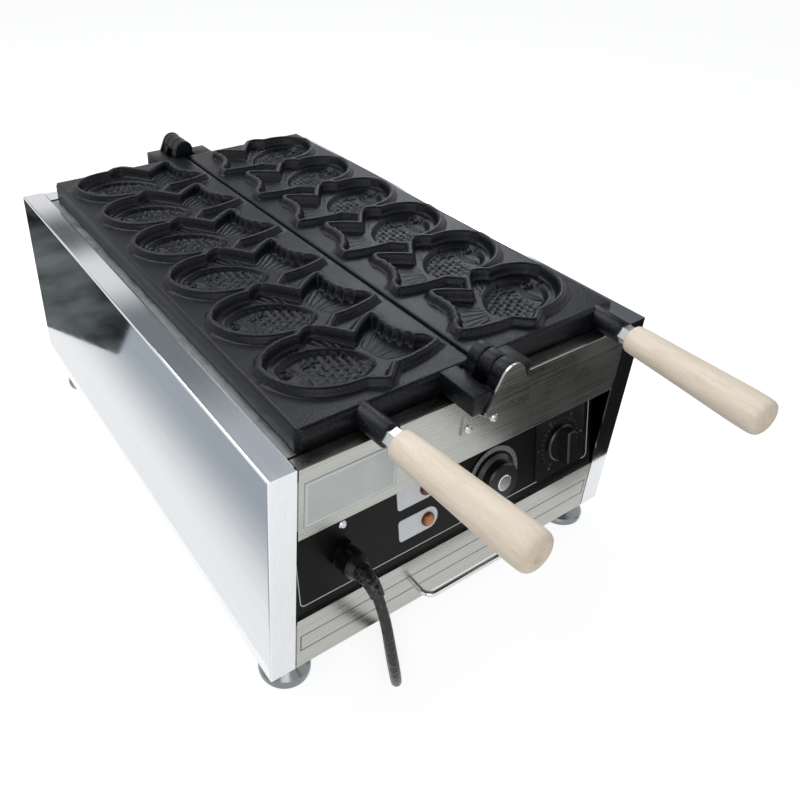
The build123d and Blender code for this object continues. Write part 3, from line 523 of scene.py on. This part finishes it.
def plate_blank():
    """Right-hand plate: a top skin that follows the rims of its fish, sides, and a base with a recess."""
    across = np.concatenate([[plate_in, 2.7, 5, 9, 13], np.arange(16, 177.6, cell),
                             [180, 183, 185.5, plate_out]])
    along = np.concatenate([[plate_front, 18, 20.5, 23.5], np.arange(26, 596.4, cell),
                            [599, 601, 603, plate_rear]])
    bm = bmesh.new()
    columns, rows = len(across) - 1, len(along) - 1
    bmesh.ops.create_grid(bm, x_segments=columns, y_segments=rows, size=0.5)
    unit = np.array([v.co[:2] for v in bm.verts]) + 0.5
    index = np.rint(unit * (columns, rows)).astype(int)
    flat = np.stack([across[index[:, 0]], along[index[:, 1]]], axis=1)
    rise = np.zeros(len(flat))
    cavity = np.full(len(flat), -1e9)
    nearest = np.full(len(flat), 1e9)
    moved = flat.copy()
    for row in range(fish_rows):
        near = np.abs(flat[:, 1] - pitch * row - first_fish) < fish_reach
        local = flat[near] - (0, pitch * row)
        gap, away = edge_distance(local, fish_outline)
        snapped = np.round(gap / cell) * cell
        pull = ((gap > -2.6) & (gap < 11))[:, None] * away * (snapped - gap)[:, None]
        closer = np.abs(gap) < nearest[near]
        target = moved[near]
        target[closer] = (flat[near] + pull)[closer]
        moved[near] = target
        nearest[near] = np.minimum(nearest[near], np.abs(gap))
    for row in range(fish_rows):
        near = np.abs(moved[:, 1] - pitch * row - first_fish) < fish_reach
        local = moved[near] - (0, pitch * row)
        gap = edge_distance(local, fish_outline)[0]
        body_gap = edge_distance(local, body_outline)[0]
        profile = np.interp(gap, *wall) - fin_depth + rim_height
        outer = np.where(gap > 3, profile, rim_height)
        rise[near] = np.maximum(rise[near], np.where(gap < 11, outer, 0))
        floor_z = profile - (body_depth - fin_depth) * ease(-body_gap / 6) - 1.2 * ease(-body_gap / 22)
        floor_z += relief(local[:, 0], local[:, 1], body_gap) * ease((-gap - 2.1) / 2.4)
        holder = cavity[near]
        inner = gap < 3
        holder[inner] = floor_z[inner]
        cavity[near] = holder
    height = plate_top + np.where(cavity > -1e8, cavity, rise)
    gaps = {"side": plate_out - moved[:, 0], "front": moved[:, 1] - plate_front,
            "rear": plate_rear - moved[:, 1]}
    for gap in gaps.values():
        height -= edge_round * np.clip(1 - gap / edge_round, 0, 1)
    height -= inner_round * np.clip(1 - (moved[:, 0] - plate_in) / inner_round, 0, 1)
    for end, way in (("front", 1), ("rear", -1)):
        short = np.clip(corner_cut - gaps["side"] - gaps[end], 0, None) / 2
        moved[:, 0] -= short
        moved[:, 1] += way * short
    for vert, place, z in zip(bm.verts, moved, height):
        vert.co = (place[0], place[1], z)
    rings = [(0, 249.2), (1.2, 248), (8, 248), (8.8, 249), (9.5, 256.5)]
    half_x, half_y = (plate_out - plate_in) / 2, (plate_rear - plate_front) / 2
    middle = Vector((plate_in + half_x, middle_y, 0))
    edges = [edge for edge in bm.edges if edge.is_boundary]
    done = 0.0
    for inset, z in rings:
        made = bmesh.ops.extrude_edge_only(bm, edges=edges)["geom"]
        verts = verts_of(made)
        edges = [part for part in made if isinstance(part, bmesh.types.BMEdge)]
        shrink = ((half_x - inset) / (half_x - done), (half_y - inset) / (half_y - done), 1)
        bmesh.ops.scale(bm, vec=shrink, space=Matrix.Translation(-middle), verts=verts)
        for vert in verts:
            vert.co.z = z
        done = inset
    bmesh.ops.contextual_create(bm, geom=edges)
    return bm


# Fired PTFE coat on cast aluminium: blue-black, satin, with the casting's grain and tiny bright specks
coat, tree, shader, place = surface("fired_nonstick_coat", "#0c0d11", 0.36, IOR=1.3)
grain = add(tree, "TexNoise", {"Vector": place, "Scale": 520.0, "Detail": 4.0, "Roughness": 0.7})
patch = add(tree, "TexNoise", {"Vector": place, "Scale": 22.0, "Detail": 4.0})
shade = add(tree, "Mix", {"Factor": patch.outputs["Fac"], "A": srgb("#07080b"), "B": srgb("#0f1218")},
            data_type="RGBA")
fleck = add(tree, "TexVoronoi", {"Vector": place, "Scale": 620.0})
spark = add(tree, "MapRange", {"Value": fleck.outputs["Distance"], "From Min": 0.10, "From Max": 0.16,
                               "To Min": 1.0, "To Max": 0.0})
speck = add(tree, "Mix", {"Factor": spark.outputs[0], "A": shade.outputs["Result"], "B": srgb("#6f7684")},
            data_type="RGBA")
tree.links.new(speck.outputs["Result"], shader.inputs["Base Color"])
rough = add(tree, "MapRange", {"Value": patch.outputs["Fac"], "To Min": 0.26, "To Max": 0.42})
tree.links.new(rough.outputs[0], shader.inputs["Roughness"])
bump = add(tree, "Bump", {"Height": grain.outputs["Fac"], "Strength": 0.5, "Distance": 0.0006})
tree.links.new(bump.outputs[0], shader.inputs["Normal"])

for side in ("left", "right"):
    bm = plate_blank()
    if side == "left":
        bmesh.ops.scale(bm, vec=(-1, 1, 1), verts=bm.verts)
    plate = piece(bm, f"mould_plate_{side}", coat, f"{side}_plate", smooth=50)
    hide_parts(f"plate_{side}")


# Hinge ears and handle bosses -----------------------------------------------------------------
# Cast on the plates at both ends: a lug with one knuckle on the right, and with two on the left, so
# that they interleave on one pin. The handle's boss is a round bar cast on the front edge.
def block(bm, low, high, edge):
    """Box between two corners with rounded edges."""
    low, high = Vector(low), Vector(high)
    made = bmesh.ops.create_cube(bm, size=1)["verts"]
    bmesh.ops.scale(bm, vec=high - low, verts=made)
    bmesh.ops.translate(bm, vec=(low + high) / 2, verts=made)
    around = list({e for v in made for e in v.link_edges})
    bmesh.ops.bevel(bm, geom=around, offset=edge, segments=3, profile=0.5, affect="EDGES", material=-1)


def barrel(bm, place, radius, length, edge):
    """Round bar along its own Z from the place given by a matrix, with rounded ends."""
    made = bmesh.ops.create_cone(bm, cap_ends=True, segments=48, radius1=radius, radius2=radius,
                                 depth=length)["verts"]
    caps = list({e for v in made for f in v.link_faces if len(f.verts) > 4 for e in f.edges})
    bmesh.ops.translate(bm, vec=(0, 0, length / 2), verts=made)
    bmesh.ops.transform(bm, matrix=place, verts=made)
    bmesh.ops.bevel(bm, geom=caps, offset=edge, segments=3, profile=0.5, affect="EDGES", material=-1)


hinge_z, knuckle_r = 280, 12.7
ear_bottom, lug_top, shoulder = 251.5, 272, 269
lug_end, web_reach = 19, 15.5
knuckle_runs = {"left": [(-26.5, -13.2), (2.5, 15.0)], "right": [(-12.4, 1.7)]}
lug_x = {"left": (24, 40), "right": (20, 42)}
for side, runs in knuckle_runs.items():
    bm = bmesh.new()
    inner, outer = lug_x[side]
    block(bm, (inner - 4, runs[0][0] + 0.2, ear_bottom), (outer, lug_end, lug_top), 1.4)
    for near, far in runs:
        forward = Matrix.Translation((0, far, hinge_z)) @ Matrix.Rotation(radians(90), 4, "X")
        barrel(bm, forward, knuckle_r, far - near, 0.9)
        block(bm, (0, near, ear_bottom), (inner + 2, far, shoulder), 1.2)
        profile = [(0, hinge_z), (knuckle_r - 0.4, hinge_z), (web_reach, shoulder),
                   (web_reach, ear_bottom + 2), (0, ear_bottom + 2)]
        web = bm.faces.new([bm.verts.new((x, near + 0.3, z)) for x, z in profile])
        swept = bmesh.ops.extrude_face_region(bm, geom=[web])["geom"]
        bmesh.ops.translate(bm, vec=(0, far - near - 0.6, 0), verts=verts_of(swept))
    front = bm.verts[:] + bm.edges[:] + bm.faces[:]
    copied = bmesh.ops.duplicate(bm, geom=front)["geom"]
    bmesh.ops.scale(bm, vec=(1, -1, 1), space=Matrix.Translation((0, -middle_y, 0)), verts=verts_of(copied))
    if side == "left":
        bmesh.ops.scale(bm, vec=(-1, 1, 1), verts=bm.verts)
    ears = piece(bm, f"hinge_ears_cast_{side}", coat, f"{side}_plate")
    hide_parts(f"hinge_ears_{side}")

handle_x = {"left": -120.5, "right": 164.5}
boss_face, handle_z, boss_length, boss_radius = -17, 261, 39, 11.5


def handle_place(side):
    """Matrix of a handle: its origin on the boss's face and Z along it towards the free end."""
    toe = radians(3.5) * (1 if side == "left" else -1)
    axis = Vector((sin(toe), -cos(toe), 0))
    sideways = Vector((cos(toe), sin(toe), 0))
    turn = Matrix((sideways, axis.cross(sideways), axis)).transposed().to_4x4()
    return Matrix.Translation((handle_x[side], boss_face, handle_z)) @ turn


for side in handle_x:
    bm = bmesh.new()
    inner_end = handle_place(side) @ Matrix.Translation((0, 0, -boss_length))
    barrel(bm, inner_end, boss_radius, boss_length, 1.4)
    piece(bm, f"handle_boss_{side}", coat, f"{side}_plate")


# Wooden grips ---------------------------------------------------------------------------------
# Beech, turned by hand and only sanded: fuller towards the free end, which is cut nearly flat and has
# a shallow hole in its middle. Pale cream with short darker flecks along the grain.
beech, tree, shader, place = surface("sanded_beech", "#efe0c6", 0.55)
along_grain = add(tree, "Mapping", {"Vector": place, "Scale": (240, 22, 240)})
figure = add(tree, "TexNoise", {"Vector": along_grain.outputs[0], "Scale": 1.0, "Detail": 4.0,
                                "Roughness": 0.6})
tone = add(tree, "MapRange", {"Value": figure.outputs["Fac"], "From Min": 0.3, "From Max": 0.7})
wood = add(tree, "Mix", {"Factor": tone.outputs[0], "A": srgb("#f3e0c8"), "B": srgb("#fff3e4")},
           data_type="RGBA")
ray_map = add(tree, "Mapping", {"Vector": place, "Scale": (620, 95, 620)})
rays = add(tree, "TexVoronoi", {"Vector": ray_map.outputs[0], "Scale": 1.0})
ray = add(tree, "MapRange", {"Value": rays.outputs["Distance"], "From Min": 0.10, "From Max": 0.2,
                             "To Min": 0.3, "To Max": 0.0})
flecked = add(tree, "Mix", {"Factor": ray.outputs[0], "A": wood.outputs["Result"], "B": srgb("#bf9f7c")},
              data_type="RGBA")
handling = add(tree, "TexNoise", {"Vector": place, "Scale": 26.0, "Detail": 2.0})
dirt = add(tree, "MapRange", {"Value": handling.outputs["Fac"], "From Min": 0.45, "From Max": 0.75,
                              "To Max": 0.3})
soiled = add(tree, "Mix", {"Factor": dirt.outputs[0], "A": flecked.outputs["Result"], "B": srgb("#e8d3b8")},
             data_type="RGBA")
tree.links.new(soiled.outputs["Result"], shader.inputs["Base Color"])
bump = add(tree, "Bump", {"Height": figure.outputs["Fac"], "Strength": 0.12, "Distance": 0.0008})
tree.links.new(bump.outputs[0], shader.inputs["Normal"])


def turned(bm, profile, steps):
    """Solid turned from a profile of radii and heights."""
    chain = [bm.verts.new((r, 0, z)) for r, z in profile]
    for a, b in zip(chain, chain[1:]):
        bm.edges.new((a, b))
    bmesh.ops.spin(bm, geom=bm.verts[:] + bm.edges[:], cent=(0, 0, 0), axis=(0, 0, 1), angle=2 * pi,
                   steps=steps, use_merge=True)
    bmesh.ops.remove_doubles(bm, verts=bm.verts, dist=0.001)


grip_profile = [(6, 10), (10.6, 10), (12.4, 10.4), (13.5, 11.4), (14.1, 13), (14.6, 24), (15.0, 36),
                (15.5, 55), (16.2, 78), (16.9, 102), (17.4, 120), (17.6, 132), (17.45, 142), (16.9, 145.6),
                (15.6, 148), (13.4, 149.4), (10.5, 150), (6.8, 150), (6.2, 149.2), (5.8, 145.5), (0, 145)]
for number, side in enumerate(handle_x):
    bm = bmesh.new()
    turned(bm, grip_profile, 64)
    for vert in bm.verts:
        turn = np.arctan2(vert.co.y, vert.co.x)
        flat = 1 - 0.006 * (1 + cos(3 * turn + number)) - 0.004 * (1 + cos(2 * turn + 0.06 * vert.co.z))
        vert.co.x *= flat
        vert.co.y *= flat
    bmesh.ops.transform(bm, matrix=handle_place(side), verts=bm.verts)
    grip = piece(bm, f"turned_grip_{side}", beech, f"{side}_plate", smooth=40)
    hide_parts(f"grip_{side}")


# Control panel --------------------------------------------------------------------------------
# Steel sheet with a baked semi-matt black finish, leaning back between apron and lower frame. A thin
# white line is printed round the controls.
black_paint, tree, shader, place = surface("baked_black_enamel", "#060607", 0.4, Specular_IOR_Level=0.14)
peel = add(tree, "TexNoise", {"Vector": place, "Scale": 180.0, "Detail": 3.0})
bump = add(tree, "Bump", {"Height": peel.outputs["Fac"], "Strength": 0.12, "Distance": 0.0006})
tree.links.new(bump.outputs[0], shader.inputs["Normal"])
dust = add(tree, "TexNoise", {"Vector": place, "Scale": 30.0, "Detail": 4.0})
rough = add(tree, "MapRange", {"Value": dust.outputs["Fac"], "To Min": 0.3, "To Max": 0.5})
tree.links.new(rough.outputs[0], shader.inputs["Roughness"])
finish(black_paint, "control_panel")

# Moulded black plastic of knobs, gland and both dials: even and slightly glossy
black_plastic, tree, shader, place = surface("moulded_black_abs", "#0d0e0f", 0.3)
skin = add(tree, "TexNoise", {"Vector": place, "Scale": 700.0, "Detail": 2.0})
bump = add(tree, "Bump", {"Height": skin.outputs["Fac"], "Strength": 0.15, "Distance": 0.0003})
tree.links.new(bump.outputs[0], shader.inputs["Normal"])
finish(black_plastic, "thermostat_knob", "timer_knob", "timer_dial", "cable_gland", "thermostat_dial")
# Phenolic cases of the switches and the terminal block: dark grey and dull
switch_case = surface("phenolic_switch_case", "#2b2a29", 0.5)[0]
finish(switch_case, "thermostat_body", "timer_body", "terminal_block")
# Spun aluminium cap on the thermostat knob, satin
spun = surface("spun_aluminium", "#cfd0d0", 0.24, 1.0)[0]
finish(spun, "thermostat_cap")

# The panel runs back 0.19 mm for each millimetre up; places on it are given across and up its slope
panel_slope, panel_foot_y, panel_foot_z = 0.19, 3, 67
rise_share = 1 / sqrt(1 + panel_slope ** 2)
thermostat_at, timer_at = (47, 46), (145, 47)


def on_panel(x, along):
    """Matrix of a place on the panel's face: X to the right, Y up its slope and Z out of it."""
    z = panel_foot_z + along * rise_share
    upwards = Vector((0, panel_slope, 1)) * rise_share
    turn = Matrix((Vector((1, 0, 0)), upwards, Vector((1, 0, 0)).cross(upwards))).transposed().to_4x4()
    return Matrix.Translation((x, panel_foot_y + panel_slope * (z - panel_foot_z), z)) @ turn


def rounded(bm, width, height, *corners):
    """Face of a rectangle with its corners' radii, from the upper right one anticlockwise."""
    ways = [(1, 1), (-1, 1), (-1, -1), (1, -1)]
    verts = []
    for quarter, ((x, y), corner) in enumerate(zip(ways, corners)):
        for step in range(9):
            turn = pi / 2 * (quarter + step / 8)
            along_x = x * (width / 2 - corner) + corner * cos(turn)
            along_y = y * (height / 2 - corner) + corner * sin(turn)
            verts.append(bm.verts.new((along_x, along_y, 0)))
    made = bm.faces.new(verts)
    bm.normal_update()
    return made


def raised(bm, faces, thickness):
    """Gives flat faces their thickness."""
    grown = bmesh.ops.extrude_face_region(bm, geom=faces)["geom"]
    bmesh.ops.translate(bm, vec=(0, 0, thickness), verts=verts_of(grown))


def outlined(width, height, corner, line_width, thickness):
    """Closed line round a rounded rectangle: its face is inset and the middle taken out."""
    bm = bmesh.new()
    outer = rounded(bm, width, height, corner, corner, corner, corner)
    bmesh.ops.inset_region(bm, faces=[outer], thickness=line_width, use_boundary=True, use_even_offset=True)
    middle = max(bm.faces, key=lambda face: len(face.verts))
    bmesh.ops.delete(bm, geom=[middle], context="FACES_ONLY")
    raised(bm, bm.faces[:], thickness)
    return bm


# Printed white line: screen ink, matt
ink = surface("screen_printed_white_ink", "#e4e5e3", 0.6)[0]
bm = outlined(380, 90, corner=5, line_width=0.9, thickness=0.12)
bmesh.ops.transform(bm, matrix=on_panel(0, 54), verts=bm.verts)
piece(bm, "printed_border_line", ink, "housing")


# Labels and lamps -----------------------------------------------------------------------------
# Two bare label plates of white stock, squared on the left and round on the right, where each holds a
# pilot lamp. A larger bare plate with a pale border sits on the apron above them.
label, tree, shader, place = surface("satin_white_label", "#e6e8ee", 0.4)
soiling = add(tree, "TexNoise", {"Vector": place, "Scale": 60.0, "Detail": 3.0})
shade = add(tree, "Mix", {"Factor": soiling.outputs["Fac"], "A": srgb("#eceef4"), "B": srgb("#fcfdff")},
            data_type="RGBA")
tree.links.new(shade.outputs["Result"], shader.inputs["Base Color"])
# Etched aluminium of the rating plate, pale and dull
etched, tree, shader, place = surface("etched_aluminium_plate", "#c9cecb", 0.45, 0.1)
dullness = add(tree, "TexNoise", {"Vector": place, "Scale": 45.0, "Detail": 4.0})
shade = add(tree, "Mix", {"Factor": dullness.outputs["Fac"], "A": srgb("#c2c7c4"), "B": srgb("#d8ddda")},
            data_type="RGBA")
tree.links.new(shade.outputs["Result"], shader.inputs["Base Color"])
finish(etched, "rating_plate")
bm = outlined(93, 47, corner=2, line_width=1.2, thickness=0.15)
upright = Matrix.Translation((-143, -0.5, 207)) @ Matrix.Rotation(radians(90), 4, "X")
bmesh.ops.transform(bm, matrix=upright, verts=bm.verts)
piece(bm, "rating_plate_border", label, "housing")


def lens(name, centre, painted_glow, rim):
    """Polycarbonate of an unlit lens in the rim colour, with a painted glow in its middle, in the second
    colour given, that fades out towards the rim.
    """
    made, tree, shader, place = surface(name, rim, 0.14)
    glow_radius = 0.0074
    reach = 1 / glow_radius
    shift = [-reach * value for value in centre]
    local = add(tree, "Mapping", {"Vector": place, "Location": shift, "Scale": (reach, reach, reach)})
    ball = add(tree, "TexGradient", {"Vector": local.outputs[0]}, gradient_type="SPHERICAL")
    glow = add(tree, "MapRange", {"Value": ball.outputs["Fac"], "From Min": 0.05, "From Max": 0.5})
    shade = add(tree, "Mix", {"Factor": glow.outputs[0], "A": srgb(rim), "B": srgb(painted_glow)}, data_type="RGBA")
    tree.links.new(shade.outputs["Result"], shader.inputs["Base Color"])
    return made


label_x, lamp_x = -52, -41
# Per lamp: its place up the panel, the colour of the painted glow in its middle and its rim colour; the upper
# lens is darker than the lower one
lamp_colours = {"upper": (72, "#8a3a14", "#3d1a0c"), "lower": (36, "#e58a3c", "#6b2c10")}
lens_profile = [(7.5, 0.8), (7.5, 2.2), (6.8, 3.6), (5.2, 5.0), (2.8, 6.1), (0, 6.4)]
for level, (along, painted_glow, rim) in lamp_colours.items():
    bm = bmesh.new()
    raised(bm, [rounded(bm, 48, 24, 11.5, 3.5, 3.5, 11.5)], 0.8)
    bmesh.ops.transform(bm, matrix=on_panel(label_x, along), verts=bm.verts)
    plate = piece(bm, f"bare_label_{level}", label, "housing")
    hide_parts(f"label_plate_{level}")
    bm = bmesh.new()
    turned(bm, lens_profile, 40)
    spot = on_panel(lamp_x, along)
    bmesh.ops.transform(bm, matrix=spot, verts=bm.verts)
    centre = at(*(spot @ Vector((0, 0, 5))))
    amber = lens(f"amber_polycarbonate_{level}", centre, painted_glow, rim)
    cap = piece(bm, f"lens_{level}", amber, "housing")
    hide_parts(f"pilot_lamp_{level}")


# Dial marks -----------------------------------------------------------------------------------
# The thermostat's dial carries a silvered ring with black graduations, and the timer's square plate
# has grey ones with plain numbers. They are printed and lie on the dials' faces.
dial_face, ring_face = 1.2, 1.4
silvered = surface("silvered_dial_ring", "#b9bcbe", 0.3, 0.9)[0]
dial_black = surface("black_dial_ink", "#0a0a0b", 0.5)[0]
dial_grey = surface("grey_dial_ink", "#85888a", 0.55)[0]
bm = bmesh.new()
turned(bm, [(28.6, dial_face), (28.6, ring_face), (33.8, ring_face), (33.8, dial_face)], 96)
bmesh.ops.transform(bm, matrix=on_panel(*thermostat_at), verts=bm.verts)
piece(bm, "thermostat_silver_ring", silvered, "housing")


def graduations(bm, count, sweep, inner, outer, face):
    """Short printed strokes round a dial, from lower left clockwise; every fifth one is longer."""
    for step in range(count):
        turn = radians(90 + sweep / 2 - sweep * step / (count - 1))
        reach = inner - (1.0 if step % 5 == 0 else 0)
        made = bmesh.ops.create_cube(bm, size=1)["verts"]
        bmesh.ops.scale(bm, vec=(outer - reach, 0.55, 0.1), verts=made)
        bmesh.ops.translate(bm, vec=((outer + reach) / 2, 0, face + 0.05), verts=made)
        bmesh.ops.rotate(bm, matrix=Matrix.Rotation(turn, 3, "Z"), verts=made)


def numbers(bm, words, sweep, radius, size, face):
    """Plain numbers round a dial, each standing upright on the panel."""
    for step, word in enumerate(words):
        turn = radians(90 + sweep / 2 - sweep * step / (len(words) - 1))
        text = bpy.data.curves.new("number", "FONT")
        text.body = word
        text.size = size
        text.extrude = 0.04
        text.align_x = "CENTER"
        text.align_y = "CENTER"
        holder = bpy.data.objects.new("number", text)
        mesh = bpy.data.meshes.new_from_object(holder)
        mesh.transform(Matrix.Translation((radius * cos(turn), radius * sin(turn), face + 0.05)))
        bm.from_mesh(mesh)
        bpy.data.objects.remove(holder)
        bpy.data.curves.remove(text)
        bpy.data.meshes.remove(mesh)


bm = bmesh.new()
graduations(bm, count=26, sweep=270, inner=31.4, outer=33.2, face=ring_face)
bmesh.ops.transform(bm, matrix=on_panel(*thermostat_at), verts=bm.verts)
piece(bm, "thermostat_graduations", dial_black, "housing")
bm = bmesh.new()
graduations(bm, count=26, sweep=300, inner=26.5, outer=28.3, face=dial_face)
numbers(bm, [str(value) for value in range(6)], sweep=300, radius=32.4, size=5.2, face=dial_face)
bmesh.ops.transform(bm, matrix=on_panel(*timer_at), verts=bm.verts)
piece(bm, "timer_graduations", dial_grey, "housing")


# Cord fittings --------------------------------------------------------------------------------
# The coil is tied with a woven strap, and strain relief and plug are moulded of the lead's rubber.
strap = surface("woven_tie_strap", "#1a1a1c", 0.7)[0]
finish(strap, "coil_tie")
finish(rubber, "strain_relief", "mains_plug")
